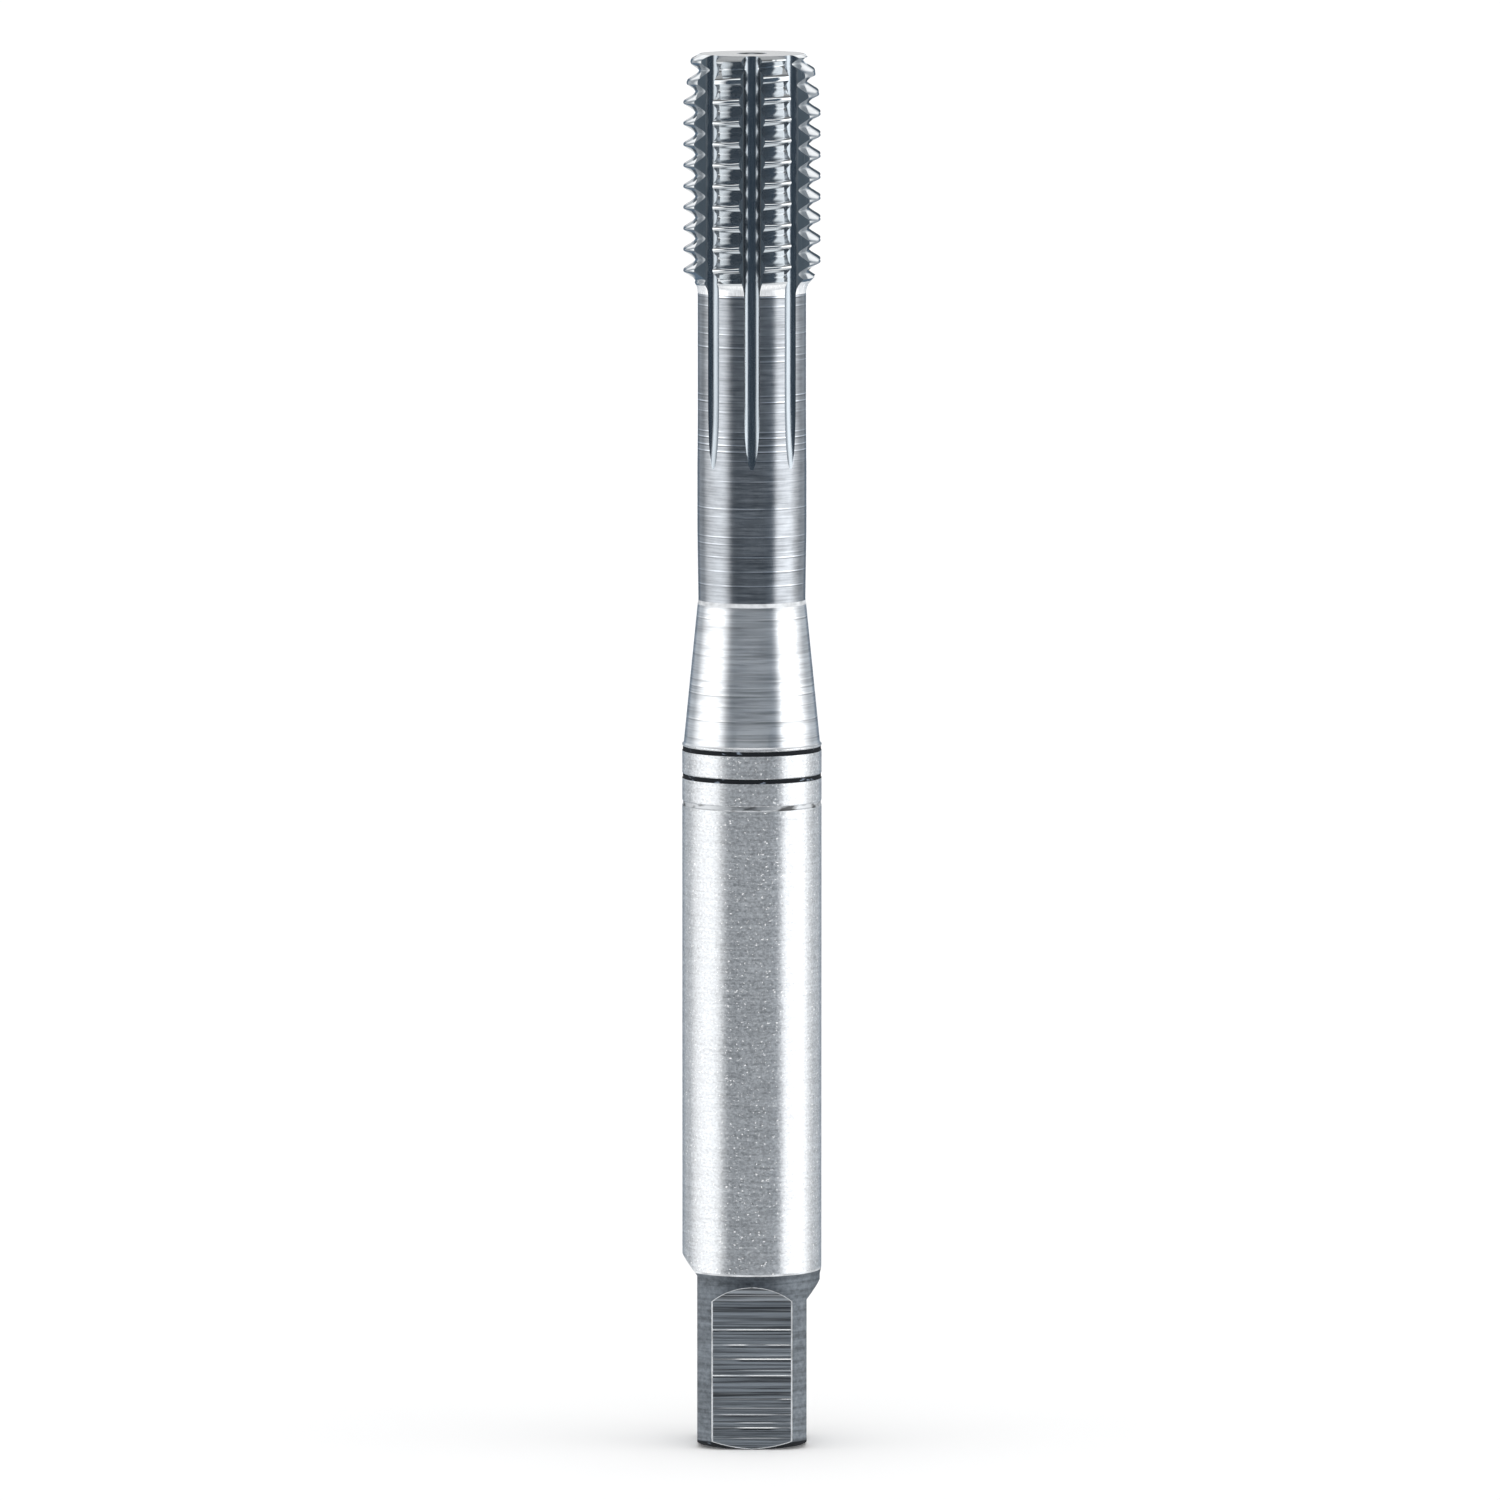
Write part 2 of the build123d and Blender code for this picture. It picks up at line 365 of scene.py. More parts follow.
def blank_radius(z, shaft, head):
    """Radius of the head's blank: hollow shoulder, over-size head, lead and nose chamfer."""
    top = shaft.overall_length
    crest, neck = head.thread_diameter / 2, shaft.neck_diameter / 2
    start = top - head.thread_length
    hollow = crest - neck
    climb = np.clip(z - (start - hollow), 0, hollow)
    shoulder = crest - np.sqrt(np.maximum(hollow**2 - climb**2, 0))
    lead_foot, lead_slope = top - head.lead_length, math.tan(head.lead_angle)
    lead = crest - (z - lead_foot) * lead_slope
    foot = top - head.nose_chamfer_height
    foot_radius = crest - (foot - lead_foot) * lead_slope
    nose = head.nose_diameter / 2
    chamfer = foot_radius + (z - foot) * (nose - foot_radius) / (top - foot)
    over = np.where(z < start, shoulder, crest + OVER_SIZE)
    return np.minimum(np.minimum(over, lead), np.where(z > foot, chamfer, over))


def land_radius(z, turn, land, shaft, head):
    """Radius of the thread on a land at height z and angle turn, both arrays.

    The land is the lower of its lobe, e cos d + sqrt(R^2 - e^2 sin^2 d) with d the angle from the
    land's middle, and its thread spaces, root + (distance from the space's middle less half its
    floor) / tan(half the flank angle). The two are joined by a smooth minimum, which rounds the edge.
    """
    top = shaft.overall_length
    crest, root = head.thread_diameter / 2, head.thread_root_diameter / 2
    lobe_radius = head.lobe_radius
    offset = crest - lobe_radius
    away = np.radians(turn - land)
    lobe = offset * np.cos(away) + np.sqrt(lobe_radius**2 - (offset * np.sin(away)) ** 2)
    pitch = head.pitch
    climb = pitch * (turn - land) / 360
    first = top - head.first_crest_depth + pitch * (land / 360 + 0.5)
    height = first - np.round((first + climb - z) / pitch) * pitch
    drop = np.maximum(0, height - (top - head.root_lead_length)) * math.tan(head.lead_angle)
    apart = np.abs(z - height - climb)
    soft, root_soft = head.crest_round, head.root_round
    half = head.root_flat / 2
    slope = math.tan(head.flank_angle / 2)
    space = root - drop + root_soft * np.logaddexp(0, (apart - half) / root_soft) / slope
    next_space = root - drop + (pitch - apart - half) / slope
    blank = blank_radius(z, shaft, head)
    outer = np.minimum(lobe, blank)
    walls = np.logaddexp(-space / soft, -next_space / soft)
    round_edge = -soft * np.logaddexp(-outer / soft, walls)
    # On the shoulder a space cuts only what stands above the thread's root
    on_shoulder = np.where(blank < root, blank, np.minimum(blank, space))
    return np.where(z < top - head.thread_length, on_shoulder, np.minimum(round_edge, blank))


def groove_curve(head):
    """Half of an oil groove's section: along its round floor, then up its flared wall."""
    flare = head.groove_flare_angle
    nose = head.groove_nose_radius
    turn = np.linspace(0, math.pi / 2 - flare, 24)
    x = head.groove_floor_diameter / 2 + nose * (1 - np.cos(turn))
    y = nose * np.sin(turn)
    wall = np.linspace(0.02, 1.7, 60)
    x = np.concatenate([x, x[-1] + wall * math.cos(flare)])
    y = np.concatenate([y, y[-1] + wall * math.sin(flare)])
    along = np.concatenate([[0], np.cumsum(np.hypot(np.diff(x), np.diff(y)))])
    return x, y, along


def groove_lift(z, shaft, head):
    """How far the grinding wheel's arc has lifted the groove's floor at height z."""
    wheel = head.groove_wheel_radius
    straight = shaft.overall_length - head.groove_length
    below = np.clip(straight - z, 0, 0.9 * wheel)
    return np.where(z > straight, 0, wheel - np.sqrt(wheel**2 - below**2))


def seam_rise(turn, share, pitch):
    """Rise of the helix at an angle from the front.

    The back groove takes the whole turn back, eased over a share of the way up to its edge.
    """
    edge = 180 - SEAM_HALF_ANGLE
    eased = np.clip(share / SEAM_EASE_SHARE, 0, 1)
    eased = eased * eased * (3 - 2 * eased)
    return np.where(np.abs(turn) > edge, np.sign(turn) * pitch * edge / 360 * eased, pitch * turn / 360)


def head_surface(z_rows, rise, blank_rows, shaft, head):
    """Height, angle and radius of every point of the neck's and head's rows, and what is grooved.

    Column by column the surface runs along the groove's section up to where that meets the land,
    then across the land, so that the groove's edges are crisp lines of the mesh. Rows of the head
    have a negative blank radius, because their radius comes from the land's own function.
    """
    x, y, along = groove_curve(head)
    z_rows, rise, blank_rows = z_rows[:, None], rise[:, None], blank_rows[:, None]
    lift = groove_lift(z_rows, shaft, head)
    arm, swing = np.hypot(x + lift, y), np.degrees(np.arctan2(y, x + lift))
    rows = np.arange(len(z_rows))
    pieces = []

    def radius(z, turn, land):
        """Land radius in the head, and the plain neck's radius below it."""
        return np.where(blank_rows < 0, land_radius(z, turn, land, shaft, head), blank_rows)

    def edge_place(groove, side, land):
        """Length along the groove's section at which it meets the land, for every row."""
        turn = groove + side * swing
        beyond = arm - radius(z_rows + rise * seam_rise(turn, 1.0, head.pitch), turn, land)
        first = np.argmax(beyond >= 0, axis=1)
        low = np.maximum(first - 1, 0)
        gap = beyond[rows, first] - beyond[rows, low]
        part = np.where(first > 0, -beyond[rows, low] / np.where(gap == 0, 1, gap), 0)
        return (along[low] + part * (along[first] - along[low]))[:, None]

    def groove_half(groove, side, land, place, shares):
        """Points of half a groove at shares of the way from its middle to its edge."""
        reach = np.maximum(place, LEAST_GROOVE) * shares
        px, py = np.interp(reach, along, x) + lift, np.interp(reach, along, y)
        turn = groove + side * np.degrees(np.arctan2(py, px))
        z = z_rows + rise * seam_rise(turn, shares, head.pitch)
        grooved = np.broadcast_to(place > 0.001, turn.shape)
        return z, turn, np.minimum(np.hypot(px, py), radius(z, turn, land)), grooved

    # Columns stand a little closer together near the groove's edge than on the land's middle
    crowding = 0.35
    even = np.linspace(0, 1, LAND_STEPS + 1)[:-1]
    across = crowding * (1 - np.cos(math.pi * even)) / 2 + (1 - crowding) * even
    steps = np.arange(GROOVE_STEPS) / GROOVE_STEPS
    for period in range(GROOVES):
        groove = -180 + LAND_PITCH * period
        land = groove + LAND_PITCH / 2
        halves, edges = [], []
        for middle, side, shares in ((groove, 1, steps), (groove + LAND_PITCH, -1, 1 - steps)):
            place = edge_place(middle, side, land)
            halves.append(groove_half(middle, side, land, place, shares))
            edges.append(groove_half(middle, side, land, place, np.ones(1))[1])
        turn = edges[0] + (edges[1] - edges[0]) * across
        z = z_rows + rise * head.pitch * turn / 360
        on_land = z, turn, radius(z, turn, land), np.zeros(turn.shape, bool)
        pieces += [halves[0], on_land, halves[1]]
    return [np.concatenate(part, axis=1) for part in zip(*pieces)]


def square_surface(z_rows, blank_rows, shaft):
    """Angle and radius of the points of the square's rows, and what each column of faces shows.

    A flat at distance d from the axis gives radius d / cos(angle from the flat's middle), as far
    as the turned blank allows. One column follows each flat's edge, so that the edge is crisp, and
    the columns just inside it carry a painted highlight.
    """
    flat = shaft.square_across_flats / 2
    slope = math.tan(shaft.flat_runout_angle)
    highlight_band = shaft.edge_highlight_width
    inner_share, edge_share = INNER_COLUMNS / PERIOD_STEPS, EDGE_COLUMNS / PERIOD_STEPS
    outer_rows = np.concatenate([[False], np.diff(z_rows) > 0]) & (blank_rows > flat - 0.2)
    turn_out, r_out, shown = [], [], []

    def half_width(z, end):
        """Half the flat's width at height z, and the flat's distance from the axis."""
        away = flat + np.maximum(z - end, 0) * slope
        around = np.interp(z, z_rows[outer_rows], blank_rows[outer_rows])
        return np.sqrt(np.maximum(around**2 - away**2, 0)), away

    for period in range(GROOVES):
        is_rising = period % 2 == 0
        middle = -180 + LAND_PITCH * (period if is_rising else period + 1)
        end = shaft.left_flat_length if middle == -90 else shaft.square_length
        width, away = half_width(z_rows, end)
        above = half_width(z_rows + highlight_band * math.cos(shaft.flat_runout_angle), end)[0]
        below = half_width(np.maximum(z_rows - highlight_band, 0), end)[0]
        inner = np.maximum(np.minimum(width - highlight_band, np.minimum(above, below)), 0.02)
        # Columns stay some degrees apart, also where the flat has no width
        least_edge, least_rim = 1.5, 0.9
        edge = np.maximum(np.degrees(np.arctan2(width, away)), least_edge)[:, None]
        inner = np.minimum(np.degrees(np.arctan2(inner, away))[:, None], edge - least_rim)
        share = np.arange(PERIOD_STEPS) / PERIOD_STEPS
        share = share if is_rising else 1 - share
        near = inner * share / inner_share
        rim = inner + (edge - inner) * (share - inner_share) / (edge_share - inner_share)
        far = edge + (LAND_PITCH - edge) * (share - edge_share) / (1 - edge_share)
        turn = np.where(share < inner_share + 1e-9, near, np.where(share < edge_share + 1e-9, rim, far))
        r_out.append(np.minimum(blank_rows[:, None], away[:, None] / np.cos(np.radians(turn))))
        turn_out.append(middle + turn * (1 if is_rising else -1))
        column = np.arange(PERIOD_STEPS) if is_rising else np.arange(PERIOD_STEPS)[::-1]
        kinds = [column < INNER_COLUMNS, column < EDGE_COLUMNS]
        shown.append(np.select(kinds, [FINISHES.index("flat"), FINISHES.index("edge highlight")], -1))
    return np.concatenate(turn_out, axis=1), np.concatenate(r_out, axis=1), np.concatenate(shown)


def tip_rows(head, top):
    """Heights and radii of the tip's face and centre hole, from the face's rim to the pilot's floor."""
    mouth, pilot = head.tip_centre_diameter / 2, head.tip_pilot_diameter / 2
    seat, depth = (mouth - pilot) * CENTRE_SLOPE, head.tip_pilot_depth
    face = [(top, TIP_FACE_RING), (top, mouth + 0.03)]
    return np.array([*face, (top - 0.05, mouth - 0.03), (top - seat, pilot), (top - depth, pilot)])


def grid_faces(count, columns):
    """Quads of a grid that closes round the axis, and the fans that close it at both ends."""
    ring = np.arange(columns)
    after = (ring + 1) % columns
    foot = np.arange(count - 1)[:, None] * columns
    top = foot + columns
    quads = np.stack([foot + ring, foot + after, top + after, top + ring], axis=-1).reshape(-1, 4)
    base_apex, tip_apex = np.full(columns, count * columns), np.full(columns, count * columns + 1)
    last = (count - 1) * columns
    base_fan = np.stack([ring, base_apex, after], axis=-1)
    tip_fan = np.stack([last + ring, last + after, tip_apex], axis=-1)
    return quads, np.concatenate([base_fan, tip_fan])


def tap_surface(shaft, head):
    """Points, faces and finish of the whole tap.

    The surface is a function of two parameters: the way along the blank's outline, and the way
    round the axis. A point is (r cos a, r sin a, h), where r is the least of the blank, the lobe,
    the thread space, the oil groove and the flat of the square at that place.
    """
    z_low, r_low, parts = outline_rows(shaft, head)
    neck_top, start = main_heights(shaft, head)[3:]
    top = shaft.overall_length
    # Rows of the neck and of the head share one function
    z_head = head_rows(shaft, head)
    rise_head = np.clip((z_head - neck_top) / RISE_FADE_IN, 0, 1)
    rise_head = rise_head * np.clip((top - z_head) / RISE_FADE_OUT, 0, 1)
    first = parts.index("neck")
    z_upper = np.concatenate([z_low[first:], z_head])
    blank_upper = np.concatenate([r_low[first:], np.full(len(z_head), -1.0)])
    rise_upper = np.concatenate([np.zeros(len(z_low) - first), rise_head])
    z_up, turn_up, r_up, is_grooved = head_surface(z_upper, rise_upper, blank_upper, shaft, head)
    columns = z_up.shape[1]
    # The square's columns pass into the grooves' columns along the plain shank, from above the arch
    # of the left flat to below the lowest ring
    z_plain, r_plain = z_low[:first], r_low[:first, None]
    turn_square, r_square, shown = square_surface(z_plain, r_low[:first], shaft)
    is_outer = np.array([part not in ("hole", "face") for part in parts[:first]])[:, None]
    square_end = shaft.ground_start + 1.3
    groove_start = z_low[parts.index("lowest ring")] - 0.4
    blend = np.clip((z_plain - square_end) / (groove_start - square_end), 0, 1)[:, None] * is_outer
    r_plain = np.where(is_outer & (blend == 0), r_square, r_plain)
    turn_plain = turn_square * (1 - blend) + turn_up[:1] * blend
    # The rim of the nose, the tip's face and its centre hole, on the columns of the top row
    tip = tip_rows(head, top)
    r_rim = np.minimum(r_up[-1:], head.nose_diameter / 2 - 0.02)
    z = [np.repeat(z_plain[:, None], columns, axis=1), np.minimum(z_up, top - TIP_EASE)]
    z += [np.full((1, columns), top), np.repeat(tip[:, :1], columns, axis=1)]
    r = [r_plain, r_up, r_rim, np.repeat(tip[:, 1:], columns, axis=1)]
    turn = [turn_plain, turn_up, np.repeat(turn_up[-1:], len(tip) + 1, axis=0)]
    z, r, around = np.concatenate(z), np.concatenate(r), np.radians(np.concatenate(turn) - 90)
    points = np.stack([r * np.cos(around), r * np.sin(around), z], axis=-1).reshape(-1, 3)
    base_apex = z_low[0] + r_low[0] / DRILL_POINT_SLOPE
    tip_apex = tip[-1, 0] - tip[-1, 1] / DRILL_POINT_SLOPE
    points = np.concatenate([points, [[0, 0, base_apex], [0, 0, tip_apex]]]) * MM
    quads, fans = grid_faces(len(z), columns)
    # Finish of each row of faces by the row at its top, and over it that of flats, painted edge highlights
    # and grooves
    fillet_share = 0.7
    fillet_top = neck_top + fillet_share * (start - neck_top)
    head_finishes = ["fillet" if height < fillet_top else "thread" for height in z_head]
    rows = [FINISH_OF_PART[part] for part in parts] + head_finishes
    rows += ["faced"] * (len(tip) + 1)
    finish = np.repeat(np.array([FINISHES.index(name) for name in rows[1:]])[:, None], columns, axis=1)
    is_cut = r_plain < r_low[:first, None] - 1e-4
    is_cut = is_cut[:-1] | is_cut[1:]
    is_cut = (is_cut | np.roll(is_cut, -1, axis=1)) & (shown >= 0)
    finish[:first - 1] = np.where(is_cut, shown, finish[:first - 1])
    upper = finish[first:first + len(z_upper) - 1]
    upper[is_grooved[:-1] & is_grooved[1:]] = FINISHES.index("groove")
    finish = np.concatenate([finish.ravel(), np.full(2 * columns, FINISHES.index("faced"))])
    return points, quads, fans, finish


def closed_mesh(name, points, quads, triangles, finish):
    """Puts arrays of points and faces into a new mesh, with a finish number on every face."""
    mesh = bpy.data.meshes.new(name)
    mesh.vertices.add(len(points))
    mesh.vertices.foreach_set("co", points.astype(np.float32).ravel())
    loops = np.concatenate([quads.ravel(), triangles.ravel()]).astype(np.int32)
    mesh.loops.add(len(loops))
    mesh.loops.foreach_set("vertex_index", loops)
    sizes = np.concatenate([np.full(len(quads), 4), np.full(len(triangles), 3)])
    starts = np.concatenate([[0], np.cumsum(sizes)[:-1]]).astype(np.int32)
    mesh.polygons.add(len(sizes))
    mesh.polygons.foreach_set("loop_start", starts)
    mesh.polygons.foreach_set("material_index", finish.astype(np.int32))
    mesh.polygons.foreach_set("use_smooth", np.ones(len(sizes), bool))
    mesh.update(calc_edges=True)
    if mesh.validate():
        raise RuntimeError(f"{name}: the surface has faces that don't hold")
    return mesh


def steel(name, tint, roughness, pattern, metallic=1.0, brushed=0.0, dull=0.5):
    """Steel of the given tint, whose pattern varies its colour, gloss and relief.

    A ground or torn surface also scatters light, so it counts as a little less than all metal.
    Brushed steel has fine marks round the axis, so it draws each reflection out along the axis.
    The painted shade named scale is no metal, and dull is how much gloss it keeps.
    """
    material = bpy.data.materials.new(f"{name}_high_speed_steel")
    material.diffuse_color = (*tint, 1)
    material.use_nodes = True
    tree = material.node_tree
    tree.nodes.clear()
    place = add(tree, "TexCoord", output="Object")
    inputs = {
        "Metallic": metallic, "Roughness": roughness, "Anisotropic": brushed, "Specular IOR Level": dull,
        **pattern(tree, place, tint),
    }
    if brushed:
        across = add(tree, "VectorMath", {0: (0, 0, 1), 1: place}, operation="CROSS_PRODUCT")
        inputs["Tangent"] = add(tree, "VectorMath", {0: across}, operation="NORMALIZE")
        inputs["Anisotropic Rotation"] = 0.25
    shader = add(tree, "BsdfPrincipled", inputs)
    add(tree, "OutputMaterial", {"Surface": shader})
    return material


def tool_marks(tree, place, along, across, detail, seed=0.0):
    """Noise drawn out round the axis, as a tool leaves it: along and across it, in millimetres."""
    scale = (1 / (along * MM), 1 / (along * MM), 1 / (across * MM))
    inputs = {"Vector": place, "Location": (seed, seed, seed), "Scale": scale}
    scaled = add(tree, "Mapping", inputs)
    inputs = {"Vector": scaled, "Scale": 1.0, "Detail": detail, "Roughness": 0.6}
    return add(tree, "TexNoise", inputs)


def scratch_rings(tree, place, spacing, width, seed, below=0.0):
    """Scratches right round the axis at uneven heights: 0 between them, up to 1 on the strongest.

    They are about spacing apart and width wide, and lie below their place, all in millimetres.
    """
    height = add(tree, "SeparateXYZ", {0: place}, output="Z")
    inputs = {0: height, 1: 1 / (spacing * MM), 2: seed + below / spacing}
    count = add(tree, "Math", inputs, operation="MULTIPLY_ADD")
    near = add(tree, "TexVoronoi", {"W": count, "Scale": 1.0}, "Distance", voronoi_dimensions="1D")
    chance = add(tree, "SeparateXYZ", {0: near.node.outputs["Color"]}, output="X")
    strength = add(tree, "MapRange", {0: chance, 1: 0.3, 2: 0.95, 3: 0, 4: 1})
    share = width / spacing
    on_line = add(tree, "MapRange", {0: near, 1: 0.3 * share, 2: 0.5 * share, 3: 1, 4: 0})
    whole = add(tree, "Math", {0: strength, 1: on_line}, operation="MULTIPLY")
    # Each scratch also fades on its way round
    patches = tool_marks(tree, place, 3, 1.5, 1, seed)
    faint = add(tree, "MapRange", {0: patches, 1: 0.4, 2: 0.55, 3: 0.25, 4: 1})
    return add(tree, "Math", {0: whole, 1: faint}, operation="MULTIPLY")


def lit_scratches(tree, place, body, dark, highlight, spacing, widths, seed, drop):
    """A body colour with single scratches painted as bright highlights and a painted shadow line below each,
    and where the highlights are.
    """
    low = scratch_rings(tree, place, spacing, widths[0], seed, drop)
    body = add(tree, "Mix", {0: low, 6: body, 7: dark}, **COLOUR_MIX)
    high = scratch_rings(tree, place, spacing, widths[1], seed)
    return add(tree, "Mix", {0: high, 6: body, 7: highlight}, **COLOUR_MIX), high


def from_axis(tree, place):
    """Distance from the tap's axis."""
    flat = add(tree, "VectorMath", {0: place, 1: (1, 1, 0)}, operation="MULTIPLY")
    return add(tree, "VectorMath", {0: flat}, output="Value", operation="LENGTH")


def two_tones(tree, marks, low, high, tint, dark, light):
    """Colour that runs from a dark to a light share of the tint while the marks run from low to high."""
    share = add(tree, "MapRange", {0: marks, 1: low, 2: high, 3: 0, 4: 1})
    return add(tree, "Mix", {0: share, 6: shade(tint, dark), 7: shade(tint, light)}, **COLOUR_MIX)


def wheel_satin(tree, place, tint):
    """Satin left by the groove wheel: marks along the groove, drawn 0.12 mm apart so that they show."""
    fine = tool_marks(tree, place, 0.12, 3.0, 2, 2.5)
    return {
        "Base Color": two_tones(tree, fine, 0.3, 0.7, tint, 0.85, 1.1),
        "Roughness": add(tree, "MapRange", {0: fine, 1: 0.3, 2: 0.7, 3: 0.16, 4: 0.28}),
    }


def satin_and_painted_walls(tree, place, tint):
    """The same satin in the oil grooves, whose walls get a matt slate colour, a painted reflection of the
    dark studio.
    """
    inputs = wheel_satin(tree, place, tint)
    # The floor stays bright up to 3.9 mm from the axis, and the walls are painted slate from 4.1 mm out
    radius = from_axis(tree, place)
    on_wall = add(tree, "MapRange", {0: radius, 1: 3.9 * MM, 2: 4.1 * MM, 3: 0, 4: 1})
    slate = (0.32 * tint[0], 0.38 * tint[1], 0.43 * tint[2], 1)
    satin = inputs["Base Color"]
    inputs["Base Color"] = add(tree, "Mix", {0: on_wall, 6: satin, 7: slate}, **COLOUR_MIX)
    inputs["Metallic"] = add(tree, "MapRange", {0: on_wall, 1: 0, 2: 1, 3: 0.96, 4: 0.2})
    return inputs


def polish_marks(tree, place, tint):
    """Faint marks of the polishing wheel, drawn 0.2 mm apart so that they show."""
    fine = tool_marks(tree, place, 2.5, 0.2, 3)
    return {
        "Base Color": two_tones(tree, fine, 0.3, 0.7, tint, 0.86, 1),
        "Roughness": add(tree, "MapRange", {0: fine, 1: 0.3, 2: 0.7, 3: 0.04, 4: 0.1}),
        "Normal": add(tree, "Bump", {"Height": fine, "Distance": 0.001 * MM}),
    }


def turned_lines(tree, place, tint):
    """Fine turning lines, about 0.13 mm apart, and single scratches painted as bright highlights with a
    painted shadow line below each.
    """
    fine = tool_marks(tree, place, 2.5, 0.13, 3)
    broad = tool_marks(tree, place, 1.5, 1.2, 3, 3.0)
    both = add(tree, "Math", {0: broad, 1: 0.5, 2: fine}, operation="MULTIPLY_ADD")
    body = two_tones(tree, both, 0.55, 0.95, tint, 0.66, 1.2)
    # Colours of the single scratches: a painted shadow line and a painted highlight
    dark, highlight = shade(tint, 0.4), shade(tint, 2.4)
    return {
        "Base Color": lit_scratches(tree, place, body, dark, highlight, 0.5, (0.09, 0.09), 7.3, 0.1)[0],
        "Roughness": add(tree, "MapRange", {0: fine, 1: 0.3, 2: 0.7, 3: 0.28, 4: 0.4}),
        "Normal": add(tree, "Bump", {"Height": fine, "Distance": 0.008 * MM}),
    }


def ground_streaks(tree, place, tint):
    """Grinding streaks of the cone: bright and grey lines 0.17 to 0.5 mm wide, broken round the axis."""
    fine = tool_marks(tree, place, 4, 0.17, 3)
    wide = tool_marks(tree, place, 9, 0.5, 2, 2.0)
    both = add(tree, "Math", {0: fine, 1: wide}, operation="ADD")
    body = two_tones(tree, both, 0.78, 1.2, tint, 0.62, 1.05)
    # Colours of the single scratches: a painted shadow line and a painted highlight
    dark, highlight = shade(tint, 0.4), shade(tint, 1.5)
    return {
        "Base Color": lit_scratches(tree, place, body, dark, highlight, 0.6, (0.1, 0.1), 3.1, 0.11)[0],
        "Roughness": add(tree, "MapRange", {0: fine, 1: 0.3, 2: 0.7, 3: 0.33, 4: 0.45}),
        "Normal": add(tree, "Bump", {"Height": both, "Distance": 0.008 * MM}),
    }


def ground_grain(tree, place, tint):
    """Centreless-ground shank: a grain of 0.15 mm, faint lines round the axis, and matt white specks."""
    grain = tool_marks(tree, place, 0.22, 0.15, 2)
    lines = tool_marks(tree, place, 4, 0.2, 3, 5.0)
    both = add(tree, "Math", {0: lines, 1: 0.6, 2: grain}, operation="MULTIPLY_ADD")
    body = two_tones(tree, both, 0.55, 1.05, tint, 0.55, 1.0)
    dots = tool_marks(tree, place, 0.2, 0.16, 1, 8.0)
    speck = add(tree, "MapRange", {0: dots, 1: 0.66, 2: 0.73, 3: 0, 4: 1})
    return {
        "Base Color": add(tree, "Mix", {0: speck, 6: body, 7: shade(tint, 1.4)}, **COLOUR_MIX),
        "Metallic": add(tree, "MapRange", {0: speck, 1: 0, 2: 1, 3: 0.77, 4: 0.2}),
        "Roughness": add(tree, "MapRange", {0: both, 1: 0.6, 2: 1.0, 3: 0.36, 4: 0.46}),
        "Normal": add(tree, "Bump", {"Height": both, "Distance": 0.005 * MM}),
    }


def blank_mottle(tree, place, tint):
    """Turned blank left as heat treatment leaves it: mottled grey with faint lines."""
    mottle = tool_marks(tree, place, 0.35, 0.3, 3)
    lines = tool_marks(tree, place, 5, 0.25, 3, 2.0)
    both = add(tree, "Math", {0: mottle, 1: lines}, operation="ADD")
    return {
        "Base Color": two_tones(tree, both, 0.75, 1.3, tint, 0.6, 1.25),
        "Normal": add(tree, "Bump", {"Height": both, "Distance": 0.006 * MM}),
    }


def wheel_lines(tree, place, tint):
    """Flats ground across by a coarse wheel: fine lines, and single scratches painted as bright highlights
    with a painted shadow line below.

    The painted highlights are matt, so they scatter light as a matt surface does and show white from every
    side.
    """
    fine = tool_marks(tree, place, 9, 0.12, 3)
    body = two_tones(tree, fine, 0.36, 0.64, tint, 0.35, 1.75)
    # Colours of the single scratches: a painted shadow line and a painted highlight
    dark, highlight = shade(tint, 0.15), shade(tint, 3.6)
    lit_lines, is_highlight = lit_scratches(tree, place, body, dark, highlight, 0.55, (0.12, 0.09), 4.0, 0.13)
    return {
        "Base Color": lit_lines,
        "Metallic": add(tree, "MapRange", {0: is_highlight, 1: 0, 2: 1, 3: 0.9, 4: 0.1}),
        "Normal": add(tree, "Bump", {"Height": fine, "Distance": 0.012 * MM}),
    }


def faced_rings(tree, place, tint):
    """Faced ends and drilled centres: faint rings 0.12 mm apart round the axis."""
    inputs = {"W": from_axis(tree, place), "Scale": 1 / (0.12 * MM), "Detail": 3}
    rings = add(tree, "TexNoise", inputs, noise_dimensions="1D")
    return {
        "Base Color": two_tones(tree, rings, 0.3, 0.7, tint, 0.8, 1),
        "Normal": add(tree, "Bump", {"Height": rings, "Distance": 0.003 * MM}),
    }


def painted_shade_with_chips(tree, place, tint):
    """Painted shade: a near-black colour, with lighter chips here and there."""
    chips = tool_marks(tree, place, 0.9, 0.4, 2)
    return {"Base Color": two_tones(tree, chips, 0.62, 0.7, tint, 1, 18)}


def painted_shade_dashes(tree, place, tint):
    """Painted shade on the lowest ring: broken dark dashes over the shank's colour."""
    chips = tool_marks(tree, place, 1.6, 0.6, 2)
    return {"Base Color": two_tones(tree, chips, 0.36, 0.5, tint, 0.12, 0.7)}


def edge_highlight(tree, place, tint):
    """Painted highlight along an edge, broken up a little along its length."""
    broken = tool_marks(tree, place, 1.2, 1.0, 2, 1.0)
    return {"Base Color": two_tones(tree, broken, 0.35, 0.6, tint, 0.6, 1)}


